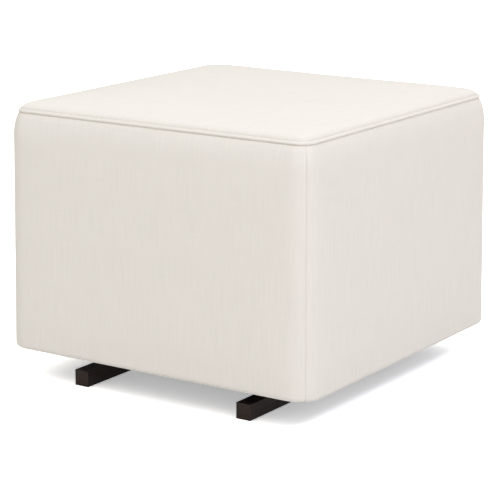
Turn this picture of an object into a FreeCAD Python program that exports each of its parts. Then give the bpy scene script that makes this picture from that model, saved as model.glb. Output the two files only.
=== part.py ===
import FreeCAD, Part
import math
import os

# Glider ottoman: an upholstered seat box that swings on four parallel arms over a steel and
# wood base. Sizes are in millimetres. The origin is on the floor under the middle of the seat.
# The front faces -Y, the glide runs along Y, and X is the width.

# upholstered box
cover_width = 550.0
cover_depth = 555.0
cover_bottom = 50.0
piping_height = 425.0
crown_rise = 20.0
corner_radius = 33.0
bottom_edge_radius = 7.0
draw_in = 9.4
draw_in_height = 40.0
hem_clearance = 5.0
fabric_thickness = 1.2
piping_radius = 2.7
piping_seat = 1.0
padding_thickness = 10.0
batting_thickness = 8.0
seat_pad_height = 75.0
crown_power = 2.6
crown_levels = 6
crown_bunching = 1.6
crown_middle = 60.0
crown_middle_radius = 48.0
soft_clearance = 0.3

# seat frame
panel_thickness = 12.0
post_size = 36.0
deck_thickness = 12.0
carriage_rail_width = 30.0
carriage_rail_height = 33.5

# base
runner_width = 25.0
runner_height = 25.0
runner_setback = 22.0
runner_inset = 124.0
cross_rail_depth = 40.0
cross_rail_height = 22.0
cross_rail_lift = 3.0
cross_rail_setback = 20.0

# swing mechanism
pivot_inset = 157.5
pivot_headroom = 63.0
lower_pivot_rise = 55.0
swing_limit = 20.0
arm_width = 25.0
eye_wall = 5.0
plate_thickness = 4.0
upper_spacer_length = 8.0
lower_spacer_length = 2.0
washer_thickness = 1.0
foot_overhang = 15.0
foot_rise = 35.0
leg_reach = 58.0
leg_shoulder_drop = 45.0
upper_eye_radius = 25.0
window_fillet = 15.0
carriage_plate_overhang = 30.0
carriage_plate_lift = 5.0
carriage_plate_fillet = 8.0
carriage_eye_radius = 18.0
tie_bar_radius = 8.0
tie_bar_drop = 60.0
bumper_radius = 8.0
bumper_reach = 60.0
bumper_gap = 0.3
bumper_overhang = 0.5

# ball bearings, 8 x 22 x 7
bearing_bore_radius = 4.0
bearing_radius = 11.0
bearing_width = 7.0
ball_radius = 1.98
ball_pitch_offset = 0.25
race_depth = 0.23
race_clearance = 0.17
ball_count = 7
shield_thickness = 0.3

# fasteners
fit_clearance = 0.04
hole_clearance = 0.2
pivot_head_radius = 6.5
pivot_head_height = 5.0
pivot_nut_flats = 13.0
pivot_nut_height = 6.5
bolt_radius = 3.0
bolt_head_radius = 5.2
bolt_head_height = 4.0
barrel_nut_radius = 5.0
barrel_nut_height = 14.0
barrel_nut_depth = 30.0
tie_screw_depth = 28.0
tee_nut_flange_radius = 9.0
tee_nut_flange = 1.5
tee_nut_barrel_radius = 4.0
tee_nut_barrel = 9.0
bumper_screw_radius = 2.5
bumper_screw_head_radius = 4.5
bumper_screw_head = 3.0
bumper_screw_cover = 4.0
wood_screw_radius = 2.0
wood_screw_head_radius = 4.0
wood_screw_head = 3.0
frame_screw_length = 62.0
frame_screws_high = 3
rail_screw_length = 45.0
deck_screw_length = 40.0
runner_screw_cover = 6.0
thread_end = 1.5

# underside
dust_cover_thickness = 0.8
slot_margin = 9.0
staple_width = 10.0
staple_wire = 0.8
staple_leg = 10.0
staple_spacing = 55.0

# how far a cutter runs past the face that it opens
past = 1.0

# places worked out from the sizes above
half_width = cover_width / 2
half_depth = cover_depth / 2
skin = fabric_thickness + soft_clearance
padding_inset = skin + padding_thickness
frame_inset = padding_inset + soft_clearance
frame_half_width = half_width - frame_inset
frame_half_depth = half_depth - frame_inset
frame_corner_radius = corner_radius - frame_inset
frame_bottom = cover_bottom + skin
deck_top = piping_height - seat_pad_height
deck_bottom = deck_top - deck_thickness
hem_depth = corner_radius - hem_clearance
draw_in_start = piping_height - draw_in_height
draw_in_radius = (draw_in_height ** 2 + draw_in ** 2) / (2 * draw_in)
piping_inset = draw_in + piping_seat
top_inset = piping_inset + piping_radius + soft_clearance
top_edge_height = piping_height - piping_seat
crown_run = min(half_width, half_depth) - top_inset - crown_middle
side_top = piping_height - piping_radius - soft_clearance
runner_length = cover_depth - 2 * runner_setback
runner_inner = half_width - runner_inset - runner_width / 2
runner_outer = runner_inner + runner_width
web_outer = runner_inner
web_inner = web_outer - plate_thickness
arm_inner = web_outer + upper_spacer_length
arm_outer = arm_inner + bearing_width
carriage_plate_inner = arm_outer + lower_spacer_length
carriage_plate_outer = carriage_plate_inner + plate_thickness
carriage_rail_outer = carriage_plate_outer + carriage_rail_width
pivot_place = half_depth - pivot_inset
upper_pivot_height = deck_bottom - pivot_headroom
lower_pivot_height = cover_bottom + lower_pivot_rise
leg_outer = pivot_place + upper_eye_radius
leg_inner = pivot_place - leg_reach
leg_shoulder_height = upper_pivot_height - leg_shoulder_drop
foot_half_length = leg_outer + foot_overhang
foot_height = runner_height + foot_rise
tie_bar_height = upper_pivot_height - tie_bar_drop
carriage_plate_half_length = pivot_place + carriage_plate_overhang
carriage_plate_bottom = cover_bottom + carriage_plate_lift
carriage_bolt_height = frame_bottom + carriage_rail_height / 2
cross_rail_place = pivot_place - cross_rail_setback
base_bolt_height = runner_height / 2
connector_face = runner_outer - bolt_head_height
runner_screw_end = runner_outer - runner_screw_cover
ball_pitch_radius = (bearing_bore_radius + bearing_radius) / 2 + ball_pitch_offset
inner_ring_radius = ball_pitch_radius - ball_radius + race_depth
outer_ring_bore_radius = ball_pitch_radius + ball_radius - race_depth
pivot_bolt_radius = bearing_bore_radius
eye_radius = bearing_radius + eye_wall
dust_top = cover_bottom - soft_clearance
dust_bottom = dust_top - dust_cover_thickness
slot_inner = web_inner - slot_margin
slot_outer = web_outer + slot_margin

V = FreeCAD.Vector
AXIS_X = V(1, 0, 0)
AXIS_Y = V(0, 1, 0)
AXIS_Z = V(0, 0, 1)
ORIGIN = V(0, 0, 0)


def block(x0, x1, y0, y1, z0, z1):
    """Return a box between two corners."""
    return Part.makeBox(x1 - x0, y1 - y0, z1 - z0, V(x0, y0, z0))


def rod_x(x0, x1, radius, y, z):
    """Return a round rod along X."""
    return Part.makeCylinder(radius, x1 - x0, V(x0, y, z), AXIS_X)


def rod_z(z0, z1, radius, x, y):
    """Return a round rod along Z."""
    return Part.makeCylinder(radius, z1 - z0, V(x, y, z0), AXIS_Z)


def ring_x(x0, x1, radius, bore, y, z):
    """Return a round ring about an axis along X."""
    return rod_x(x0, x1, radius, y, z).cut(rod_x(x0 - past, x1 + past, bore, y, z))


def nut_x(x0, x1, flats, bore, y, z):
    """Return a hexagonal nut about an axis along X."""
    reach = flats / math.sqrt(3)
    corners = []
    for i in range(7):
        turn = math.radians(60 * i)
        corners.append(V(x0, y + reach * math.cos(turn), z + reach * math.sin(turn)))
    prism = Part.Face(Part.makePolygon(corners)).extrude(V(x1 - x0, 0, 0))
    return prism.cut(rod_x(x0 - past, x1 + past, bore, y, z))


def plate_x(x0, thickness, outline):
    """Return a flat plate square to X from its outline of (y, z) points."""
    points = [V(x0, y, z) for y, z in outline]
    return Part.Face(Part.makePolygon(points + points[:1])).extrude(V(thickness, 0, 0))


def left(shape):
    """Return the left-hand twin of a right-hand piece."""
    return shape.mirror(ORIGIN, AXIS_X)


def rear(shape):
    """Return the rear twin of a front piece."""
    return shape.mirror(ORIGIN, AXIS_Y)


def both_sides(shapes):
    """Return right-hand pieces with their left-hand twins."""
    return list(shapes) + [left(s) for s in shapes]


def all_corners(shape):
    """Return a front right piece with its three twins."""
    return both_sides([shape, rear(shape)])


def fused(shapes):
    """Return one solid made of touching shapes."""
    return shapes[0].fuse(list(shapes[1:])).removeSplitter()


def drilled(shape, cutters):
    """Return a shape less the cutters that reach it."""
    near = [c for c in cutters if c.BoundBox.intersect(shape.BoundBox)]
    return shape.cut(near) if near else shape


def export(name, *shapes):
    """Write one named piece, or one group of like pieces."""
    shape = shapes[0] if len(shapes) == 1 else Part.makeCompound(list(shapes))
    shape.exportStep("parts/%s.step" % name)


def rounded_outline(half_x, half_y, radius, z):
    """Return a closed rectangle of lines with quarter-circle corners."""
    edges = []
    bend = radius * math.sqrt(0.5)
    for i in range(4):
        turn = FreeCAD.Rotation(AXIS_Z, 90 * i)
        along, across = (half_y, half_x) if i % 2 == 0 else (half_x, half_y)
        start = V(across, -along + radius, z)
        stop = V(across, along - radius, z)
        centre = V(across - radius, along - radius, z)
        middle = centre + V(bend, bend, 0)
        end = centre + V(0, radius, 0)
        start, stop, middle, end = [turn.multVec(p) for p in (start, stop, middle, end)]
        edges.append(Part.LineSegment(start, stop).toShape())
        edges.append(Part.Arc(stop, middle, end).toShape())
    return Part.Wire(edges)


# upholstery


def side_path(depth, low, high):
    """Return the box's side, seen end on, as edges a given depth under its outer face.

    The path runs in the XZ plane with the outer face at X = 0. It starts on the turned-under
    hem when low is under the bottom edge, and ends on the stretch that draws in to the piping.
    """
    edges = []
    if low < cover_bottom + bottom_edge_radius:
        centre = V(-bottom_edge_radius, 0, cover_bottom + bottom_edge_radius)
        bend = bottom_edge_radius - depth
        hem = V(-hem_depth, 0, cover_bottom + depth)
        under = centre + V(0, 0, -bend)
        middle = centre + V(bend * math.sqrt(0.5), 0, -bend * math.sqrt(0.5))
        corner = centre + V(bend, 0, 0)
        edges.append(Part.LineSegment(hem, under).toShape())
        edges.append(Part.Arc(under, middle, corner).toShape())
    else:
        corner = V(-depth, 0, low)
    shoulder = V(-depth, 0, draw_in_start)
    edges.append(Part.LineSegment(corner, shoulder).toShape())
    radius = draw_in_radius - depth
    full = math.asin((high - draw_in_start) / radius)
    centre = V(-draw_in_radius, 0, draw_in_start)
    middle = centre + V(radius * math.cos(full / 2), 0, radius * math.sin(full / 2))
    top = centre + V(radius * math.cos(full), 0, radius * math.sin(full))
    edges.append(Part.Arc(shoulder, middle, top).toShape())
    return edges


def closed_face(edges, more_points):
    """Return a face bounded by a path and by straight lines through more points."""
    wire = Part.Wire(edges)
    first = wire.OrderedVertexes[0].Point
    last = wire.OrderedVertexes[-1].Point
    stops = [last] + more_points + [first]
    lines = [Part.LineSegment(a, b).toShape() for a, b in zip(stops, stops[1:])]
    return Part.Face(Part.Wire(edges + lines))


def fabric_section():
    """Return the cut section of a fabric side panel."""
    outer = Part.Wire(side_path(0, cover_bottom, side_top))
    inner = Part.Wire(side_path(fabric_thickness, cover_bottom, side_top))
    edges = outer.Edges + inner.Edges
    for i in (0, -1):
        ends = (outer.OrderedVertexes[i].Point, inner.OrderedVertexes[i].Point)
        edges.append(Part.LineSegment(*ends).toShape())
    return Part.Face(Part.Wire(Part.__sortEdges__(edges)))


def padding_section():
    """Return the cut section of the side padding."""
    low = cover_bottom + bottom_edge_radius
    high = side_top - 2 * soft_clearance - piping_radius
    path = side_path(skin, low, high)
    return closed_face(path, [V(-padding_inset, 0, high), V(-padding_inset, 0, low)])


def side_band(section, half_out, half_along, sweep):
    """Return a band on the +X side of the box that turns part way round its two corners."""
    run = half_along - corner_radius
    face = section.copy()
    face.translate(V(half_out, 0, 0))
    start = face.copy()
    start.translate(V(0, -run, 0))
    stop = face.copy()
    stop.translate(V(0, run, 0))
    axis_x = half_out - corner_radius
    pieces = [start.extrude(V(0, 2 * run, 0))]
    pieces.append(stop.revolve(V(axis_x, run, 0), AXIS_Z, sweep))
    pieces.append(start.revolve(V(axis_x, -run, 0), AXIS_Z, -sweep))
    return fused(pieces)


def bands(section, sweep):
    """Return the four bands round the box, as a list of (side, solid)."""
    found = []
    for i, side in enumerate(("right", "rear", "left", "front")):
        sizes = (half_width, half_depth) if i % 2 == 0 else (half_depth, half_width)
        band = side_band(section, sizes[0], sizes[1], sweep)
        band.rotate(ORIGIN, AXIS_Z, 90 * i)
        found.append((side, band))
    return found


def crown(inset, drop):
    """Return a crowned block whose edge is set in from the top seam and lowered."""
    outlines = []
    sharp = corner_radius - top_inset
    for level in range(crown_levels):
        share = (level / (crown_levels - 1)) ** crown_bunching
        rise = crown_rise * (1 - (1 - share) ** crown_power)
        set_in = top_inset + inset + (crown_run - inset) * share
        height = top_edge_height - drop + rise
        radius = sharp + (crown_middle_radius - sharp) * share
        outlines.append(rounded_outline(half_width - set_in, half_depth - set_in, radius, height))
    return Part.makeLoft(outlines, True, False, False, 5)


def pad(inset, drop):
    """Return a crowned block that stands on the seat deck."""
    set_in = top_inset + inset
    foot = deck_top + soft_clearance
    radius = corner_radius - top_inset
    outline = rounded_outline(half_width - set_in, half_depth - set_in, radius, foot)
    wall = Part.Face(outline).extrude(V(0, 0, top_edge_height - drop - foot))
    return fused([wall, crown(inset, drop)])


def make_upholstery(pins):
    """Write the fabric, piping, batting, padding and foam."""
    gap_turn = math.degrees(soft_clearance / 2 / corner_radius)
    for side, panel in bands(fabric_section(), 45 - gap_turn):
        export("cover_panel_" + side, drilled(panel, pins))
    export("side_padding", fused([band for side, band in bands(padding_section(), 45)]))
    top = crown(0, 0).cut(crown(fabric_thickness, fabric_thickness))
    export("cover_top", top)
    outer = pad(skin, skin)
    inner = pad(skin + batting_thickness, skin + batting_thickness)
    export("seat_batting", outer.cut(inner))
    foam_inset = skin + batting_thickness + soft_clearance
    export("seat_foam", pad(foam_inset, foam_inset))
    export("piping", piping())


def piping():
    """Return the fabric-covered cord sewn round the top edge."""
    half_x = half_width - piping_inset
    half_y = half_depth - piping_inset
    radius = corner_radius - piping_inset
    pieces = []
    for i in range(4):
        across, along = (half_x, half_y) if i % 2 == 0 else (half_y, half_x)
        run = along - radius
        circle = Part.Circle(V(across, run, piping_height), AXIS_Y, piping_radius)
        disc = Part.Face(Part.Wire(circle.toShape()))
        straight = disc.extrude(V(0, -2 * run, 0))
        bend = disc.revolve(V(across - radius, run, 0), AXIS_Z, 90)
        for piece in (straight, bend):
            piece.rotate(ORIGIN, AXIS_Z, 90 * i)
            pieces.append(piece)
    return fused(pieces)


# seat frame


def wood_screw(place, aim, length, spare=0.0):
    """Return a screw whose head top is at place, or its hole when given some spare room."""
    head = Part.makeCone(wood_screw_head_radius + spare, wood_screw_radius + spare,
                         wood_screw_head, place, aim)
    shank = Part.makeCylinder(wood_screw_radius + spare, length + spare, place, aim)
    return head.fuse(shank).removeSplitter()


def frame_screw_places():
    """Return (place, direction, length) for each screw of the right front corner."""
    places = []
    middle = panel_thickness / 2
    edge = max(middle - wood_screw_head_radius - hole_clearance, 0)
    bend = max(frame_corner_radius - edge, 0)
    sunk = frame_corner_radius - math.sqrt(frame_corner_radius ** 2 - bend ** 2) + hole_clearance
    rise = (deck_bottom - frame_bottom) / frame_screws_high
    for i in range(frame_screws_high):
        height = frame_bottom + rise * (i + 0.4)
        near_front = V(frame_half_width - sunk, -frame_half_depth + middle, height)
        places.append((near_front, V(-1, 0, 0), frame_screw_length))
        near_side = V(frame_half_width - middle, -frame_half_depth + sunk, height + rise / 5)
        places.append((near_side, AXIS_Y, frame_screw_length))
    rail_middle = (carriage_plate_outer + carriage_rail_outer) / 2
    rail_height = frame_bottom + carriage_rail_height / 2
    places.append((V(rail_middle, -frame_half_depth, rail_height), AXIS_Y, rail_screw_length))
    down = V(0, 0, -1)
    post_middle = post_size / 2
    places.append((V(frame_half_width - post_middle, -frame_half_depth + post_middle, deck_top),
                   down, deck_screw_length))
    places.append((V(frame_half_width / 3, -frame_half_depth + middle, deck_top),
                   down, deck_screw_length))
    places.append((V(frame_half_width - middle, -frame_half_depth / 3, deck_top),
                   down, deck_screw_length))
    return places


def frame_screws(spare=0.0):
    """Return every screw of the seat frame, or its holes when given some spare room."""
    screws = []
    for place, aim, length in frame_screw_places():
        screws += all_corners(wood_screw(place, aim, length, spare))
    return screws


def head_pockets():
    """Return the short pockets that let the corner screws' heads in under the rounded edge."""
    pockets = []
    for place, aim, length in frame_screw_places():
        if aim.z == 0:
            reach = wood_screw_head_radius + hole_clearance
            pocket = Part.makeCylinder(reach, frame_corner_radius, place, aim.negative())
            pockets += all_corners(pocket)
    return pockets


def make_frame_panels(holes):
    """Write the four plywood panels, which stand between the corner posts."""
    end = frame_half_width - post_size
    front = block(-end, end, -frame_half_depth, -frame_half_depth + panel_thickness,
                  frame_bottom, deck_bottom)
    export("frame_panel_front", drilled(front, holes))
    export("frame_panel_rear", drilled(rear(front), holes))
    end = frame_half_depth - post_size
    right = block(frame_half_width - panel_thickness, frame_half_width, -end, end,
                  frame_bottom, deck_bottom)
    export("frame_panel_right", drilled(right, holes))
    export("frame_panel_left", drilled(left(right), holes))


def frame_prism(low, high):
    """Return the seat frame's whole outline as a solid between two heights."""
    outline = rounded_outline(frame_half_width, frame_half_depth, frame_corner_radius, low)
    return Part.Face(outline).extrude(V(0, 0, high - low))


def make_corner_posts(holes):
    """Write the four corner posts, each rounded on its outer corner."""
    corner = block(frame_half_width - post_size, half_width,
                   -half_depth, -frame_half_depth + post_size, frame_bottom, deck_bottom)
    post = frame_prism(frame_bottom, deck_bottom).common(corner)
    export("corner_posts", *[drilled(twin, holes) for twin in all_corners(post)])


def make_carriage_rails(holes):
    """Write the two wooden rails that take the carriage plates."""
    end = frame_half_depth - panel_thickness
    rail = block(carriage_plate_outer, carriage_rail_outer, -end, end,
                 frame_bottom, frame_bottom + carriage_rail_height)
    cutters = []
    for y in carriage_bolt_places():
        cutters.append(rod_x(carriage_plate_outer - past, carriage_rail_outer,
                             bolt_radius + hole_clearance, y, carriage_bolt_height))
        cutters.append(rod_x(carriage_rail_outer - tee_nut_barrel, carriage_rail_outer + past,
                             tee_nut_barrel_radius + fit_clearance, y, carriage_bolt_height))
    rail = drilled(rail.cut(cutters), holes)
    export("carriage_rail_right", rail)
    export("carriage_rail_left", left(rail))


def make_seat_frame(pins):
    """Write the wooden seat frame and its screws."""
    holes = frame_screws(fit_clearance) + head_pockets() + pins
    make_frame_panels(holes)
    make_corner_posts(holes)
    make_carriage_rails(holes)
    export("seat_deck", drilled(frame_prism(deck_bottom, deck_top), holes))
    export("frame_screws", *frame_screws())


# underside


def staple_places():
    """Return (x, y, quarter turn) for the staples under the frame's edges."""
    places = []
    inset = panel_thickness / 2
    for half_along, half_out, turned in ((frame_half_width, frame_half_depth, False),
                                         (frame_half_depth, frame_half_width, True)):
        count = int((half_along - post_size) / staple_spacing)
        for i in range(-count, count + 1):
            along = staple_spacing * i
            away = half_out - inset
            if turned:
                places += [(away, along, True), (-away, along, True)]
            elif not slot_inner - staple_width < abs(along) < slot_outer + staple_width:
                places += [(along, away, False), (along, -away, False)]
    return places


def staple(x, y, turned, spare=0.0):
    """Return one staple, or the room that it takes when given some spare."""
    half = staple_width / 2
    thick = staple_wire / 2 + spare
    low = dust_bottom - staple_wire
    pieces = []
    for side in (-1, 1):
        middle = side * (half - staple_wire / 2)
        pieces.append(block(middle - thick, middle + thick, -thick, thick,
                            low, dust_bottom + staple_leg + spare))
    pieces.append(block(-half, half, -thick, thick, low, dust_bottom))
    shape = fused(pieces)
    if turned:
        shape.rotate(ORIGIN, AXIS_Z, 90)
    shape.translate(V(x, y, 0))
    return shape


def make_underside(pins):
    """Write the dust cover's three strips and the staples."""
    centre = block(-slot_inner, slot_inner, -frame_half_depth, frame_half_depth,
                   dust_bottom, dust_top)
    side = block(slot_outer, frame_half_width, -frame_half_depth, frame_half_depth,
                 dust_bottom, dust_top)
    export("dust_cover_centre", drilled(centre, pins))
    export("dust_cover_right", drilled(side, pins))
    export("dust_cover_left", drilled(left(side), pins))
    export("staples", *[staple(*place) for place in staple_places()])


# base


def base_plate():
    """Return the right-hand side plate of the base with its two upright legs."""
    height = upper_pivot_height - leg_shoulder_height
    width = pivot_place - leg_inner
    span = math.hypot(width, height)
    lean = math.atan2(height, width) + math.asin(upper_eye_radius / span)
    reach = math.sqrt(span ** 2 - upper_eye_radius ** 2)
    tangent = (-leg_inner - reach * math.cos(lean), leg_shoulder_height + reach * math.sin(lean))
    leg = plate_x(web_inner, plate_thickness, [
        (-leg_outer, cross_rail_lift), (-leg_inner, cross_rail_lift),
        (-leg_inner, leg_shoulder_height), tangent,
        (-pivot_place, upper_pivot_height), (-leg_outer, upper_pivot_height)])
    eye = rod_x(web_inner, web_outer, upper_eye_radius, -pivot_place, upper_pivot_height)
    leg = leg.fuse(eye)
    foot = block(web_inner, web_outer, -foot_half_length, foot_half_length,
                 cross_rail_lift, foot_height)
    plate = fused([foot, leg, rear(leg)])
    plate = rounded_corners(plate, leg_inner, foot_height, window_fillet)
    plate = rounded_corners(plate, leg_outer, foot_height, window_fillet / 2)
    plate = rounded_corners(plate, foot_half_length, foot_height, window_fillet / 3)
    plate = rounded_corners(plate, leg_inner, leg_shoulder_height, window_fillet)
    bolt_hole = bolt_radius + hole_clearance
    bumper_y, bumper_z = bumper_place()
    holes = [(bolt_hole, 0, base_bolt_height)]
    for side in (-1, 1):
        holes.append((pivot_bolt_radius + fit_clearance, side * pivot_place, upper_pivot_height))
        holes.append((bolt_hole, side * pivot_place, tie_bar_height))
        holes.append((bolt_hole, side * cross_rail_place, base_bolt_height))
        holes.append((bolt_hole, side * leg_outer, base_bolt_height))
        holes.append((bumper_screw_radius + hole_clearance, side * bumper_y, bumper_z))
    return plate.cut([rod_x(web_inner - past, web_outer + past, r, y, z) for r, y, z in holes])


def rounded_corners(plate, place, height, radius):
    """Return a plate with its corners at +-place and one height rounded."""
    edges = []
    for edge in plate.Edges:
        middle = edge.CenterOfMass
        box = edge.BoundBox
        along_x = box.YLength < 0.01 and box.ZLength < 0.01 and box.XLength > 0.01
        here = abs(abs(middle.y) - place) < 0.01 and abs(middle.z - height) < 0.01
        if along_x and here:
            edges.append(edge)
    return plate.makeFillet(radius, edges)


def make_base_plates():
    """Write the two side plates and the screws that hold them to the runners."""
    plate = base_plate()
    export("base_plate_right", plate)
    export("base_plate_left", left(plate))
    screws = []
    for y in (-leg_outer, 0, leg_outer):
        head = rod_x(web_inner - bolt_head_height, web_inner, bolt_head_radius, y, base_bolt_height)
        shank = rod_x(web_inner - past, runner_screw_end, bolt_radius, y, base_bolt_height)
        screws.append(fused([head, shank]))
    export("base_plate_screws", *both_sides(screws))


def make_runners():
    """Write the two runners that stand on the floor."""
    runner = block(runner_inner, runner_outer, -runner_length / 2, runner_length / 2,
                   0, runner_height)
    cutters = []
    for y in (-cross_rail_place, cross_rail_place):
        cutters.append(rod_x(runner_inner - past, connector_face + past,
                             bolt_radius + hole_clearance, y, base_bolt_height))
        cutters.append(rod_x(connector_face, runner_outer + past,
                             bolt_head_radius + hole_clearance, y, base_bolt_height))
    for y in (-leg_outer, 0, leg_outer):
        cutters.append(rod_x(runner_inner - past, runner_screw_end + thread_end,
                             bolt_radius + fit_clearance, y, base_bolt_height))
    runner = runner.cut(cutters)
    export("runner_right", runner)
    export("runner_left", left(runner))


def make_cross_rails():
    """Write the cross rails with the bolts and barrel nuts that draw the base together."""
    y = -cross_rail_place
    z = base_bolt_height
    rail = block(-web_inner, web_inner, y - cross_rail_depth / 2, y + cross_rail_depth / 2,
                 cross_rail_lift, cross_rail_lift + cross_rail_height)
    barrel_x = web_inner - barrel_nut_depth
    bolt_end = barrel_x - barrel_nut_radius - thread_end
    barrel_low = max(z - barrel_nut_height / 2, cross_rail_lift + thread_end)
    barrel_high = barrel_low + barrel_nut_height
    hole = rod_x(bolt_end - past, web_inner + past, bolt_radius + hole_clearance, y, z)
    seat = rod_z(cross_rail_lift - past, barrel_high + fit_clearance,
                 barrel_nut_radius + fit_clearance, barrel_x, y)
    rail = rail.cut(both_sides([hole, seat]))
    export("cross_rail_front", rail)
    export("cross_rail_rear", rear(rail))
    tapped = rod_x(bolt_end - past, web_inner, bolt_radius + fit_clearance, y, z)
    barrel = rod_z(barrel_low, barrel_high, barrel_nut_radius, barrel_x, y).cut(tapped)
    export("barrel_nuts", *all_corners(barrel))
    head = rod_x(connector_face, runner_outer - hole_clearance, bolt_head_radius, y, z)
    shank = rod_x(bolt_end, connector_face + past, bolt_radius, y, z)
    export("connector_bolts", *all_corners(fused([head, shank])))


def make_tie_bars():
    """Write the bars between the side plates and their screws."""
    y = -pivot_place
    z = tie_bar_height
    bar = rod_x(-web_inner, web_inner, tie_bar_radius, y, z)
    screw_end = web_inner - tie_screw_depth
    tap = rod_x(screw_end - thread_end, web_inner + past, bolt_radius + fit_clearance, y, z)
    bar = bar.cut([tap, left(tap)])
    export("tie_bar_front", bar)
    export("tie_bar_rear", rear(bar))
    head = rod_x(web_outer, web_outer + bolt_head_height, bolt_head_radius, y, z)
    shank = rod_x(screw_end, web_outer + past, bolt_radius, y, z)
    export("tie_bar_screws", *all_corners(fused([head, shank])))


def bumper_place():
    """Return (y, z) of the front bumper, where the swung arm comes to rest on it."""
    turn = math.radians(swing_limit)
    away = arm_width / 2 + bumper_radius + bumper_gap
    y = -pivot_place + bumper_reach * math.sin(turn) + away * math.cos(turn)
    z = upper_pivot_height - bumper_reach * math.cos(turn) + away * math.sin(turn)
    return y, z


def make_bumpers():
    """Write the rubber bumpers that stop the arms, and their screws."""
    y, z = bumper_place()
    bumper_end = arm_outer + bumper_overhang
    screw_end = bumper_end - bumper_screw_cover
    bumper = rod_x(web_outer, bumper_end, bumper_radius, y, z)
    bumper = bumper.cut(rod_x(web_outer - past, screw_end + fit_clearance,
                              bumper_screw_radius + fit_clearance, y, z))
    export("bumpers", *all_corners(bumper))
    head = rod_x(web_inner - bumper_screw_head, web_inner, bumper_screw_head_radius, y, z)
    shank = rod_x(web_inner - past, screw_end, bumper_screw_radius, y, z)
    export("bumper_screws", *all_corners(fused([head, shank])))


# pivots


def inner_ring(y, z):
    """Return a bearing's inner ring."""
    ring = ring_x(arm_inner, arm_outer, inner_ring_radius, bearing_bore_radius + fit_clearance, y, z)
    return ring.cut(race(y, z))


def race(y, z):
    """Return the doughnut of room that a bearing's balls run in."""
    middle = (arm_inner + arm_outer) / 2
    return Part.makeTorus(ball_pitch_radius, ball_radius + race_clearance, V(middle, y, z), AXIS_X)


def outer_ring(y, z):
    """Return a bearing's outer ring."""
    ring = ring_x(arm_inner, arm_outer, bearing_radius - fit_clearance, outer_ring_bore_radius, y, z)
    return ring.cut(race(y, z))


def shields(y, z):
    """Return the two thin discs that close a bearing."""
    radius = outer_ring_bore_radius - fit_clearance
    bore = inner_ring_radius + 2 * race_clearance
    near = arm_inner + shield_thickness
    far = arm_outer - 2 * shield_thickness
    return [ring_x(x, x + shield_thickness, radius, bore, y, z) for x in (near, far)]


def balls(y, z):
    """Return a bearing's balls."""
    middle = (arm_inner + arm_outer) / 2
    found = []
    for i in range(ball_count):
        turn = 2 * math.pi * i / ball_count
        place = V(middle, y + ball_pitch_radius * math.cos(turn),
                  z + ball_pitch_radius * math.sin(turn))
        found.append(Part.makeSphere(ball_radius, place))
    return found


def make_arms():
    """Write the four swing arms with the bearings pressed into their eyes."""
    y = -pivot_place
    heights = (upper_pivot_height, lower_pivot_height)
    arm = block(arm_inner, arm_outer, y - arm_width / 2, y + arm_width / 2,
                lower_pivot_height, upper_pivot_height)
    arm = fused([arm] + [rod_x(arm_inner, arm_outer, eye_radius, y, z) for z in heights])
    arm = arm.cut([rod_x(arm_inner - past, arm_outer + past, bearing_radius, y, z) for z in heights])
    bearings = []
    for z in heights:
        bearings += [outer_ring(y, z)] + shields(y, z) + balls(y, z)
    for name, place in (("front_right", lambda s: s), ("rear_right", rear),
                        ("front_left", left), ("rear_left", lambda s: rear(left(s)))):
        export("swing_arm_" + name, place(arm))
        export("bearings_" + name, *[place(s) for s in bearings])


def make_upper_pivots():
    """Write the bolts, nuts, spacers, washers and inner rings that stay with the base."""
    y = -pivot_place
    z = upper_pivot_height
    head = arm_outer + washer_thickness
    bore = pivot_bolt_radius + fit_clearance
    end = web_inner - pivot_nut_height - thread_end
    bolt = fused([rod_x(head, head + pivot_head_height, pivot_head_radius, y, z),
                  rod_x(end, head + past, pivot_bolt_radius, y, z)])
    export("upper_pivot_bolts", *all_corners(bolt))
    nut = nut_x(web_inner - pivot_nut_height, web_inner, pivot_nut_flats, bore, y, z)
    export("upper_pivot_nuts", *all_corners(nut))
    export("upper_spacers", *all_corners(ring_x(web_outer, arm_inner, inner_ring_radius, bore, y, z)))
    export("upper_washers", *all_corners(ring_x(arm_outer, head, inner_ring_radius, bore, y, z)))
    export("upper_inner_rings", *all_corners(inner_ring(y, z)))


def make_lower_pivots():
    """Write the bolts, nuts, spacers, washers and inner rings that move with the seat."""
    y = -pivot_place
    z = lower_pivot_height
    head = arm_inner - washer_thickness
    bore = pivot_bolt_radius + fit_clearance
    nut_face = carriage_plate_outer
    end = nut_face + pivot_nut_height + thread_end
    bolt = fused([rod_x(head - pivot_head_height, head, pivot_head_radius, y, z),
                  rod_x(head - past, end, pivot_bolt_radius, y, z)])
    export("lower_pivot_bolts", *all_corners(bolt))
    nut = nut_x(nut_face, nut_face + pivot_nut_height, pivot_nut_flats, bore, y, z)
    export("lower_pivot_nuts", *all_corners(nut))
    spacer = ring_x(arm_outer, carriage_plate_inner, inner_ring_radius, bore, y, z)
    export("lower_spacers", *all_corners(spacer))
    export("lower_washers", *all_corners(ring_x(head, arm_inner, inner_ring_radius, bore, y, z)))
    export("lower_inner_rings", *all_corners(inner_ring(y, z)))


# carriage


def carriage_bolt_places():
    """Return where along Y each carriage plate is bolted to its rail."""
    outer = (pivot_place + carriage_plate_half_length) / 2
    return (-outer, -pivot_place / 3, pivot_place / 3, outer)


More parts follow.
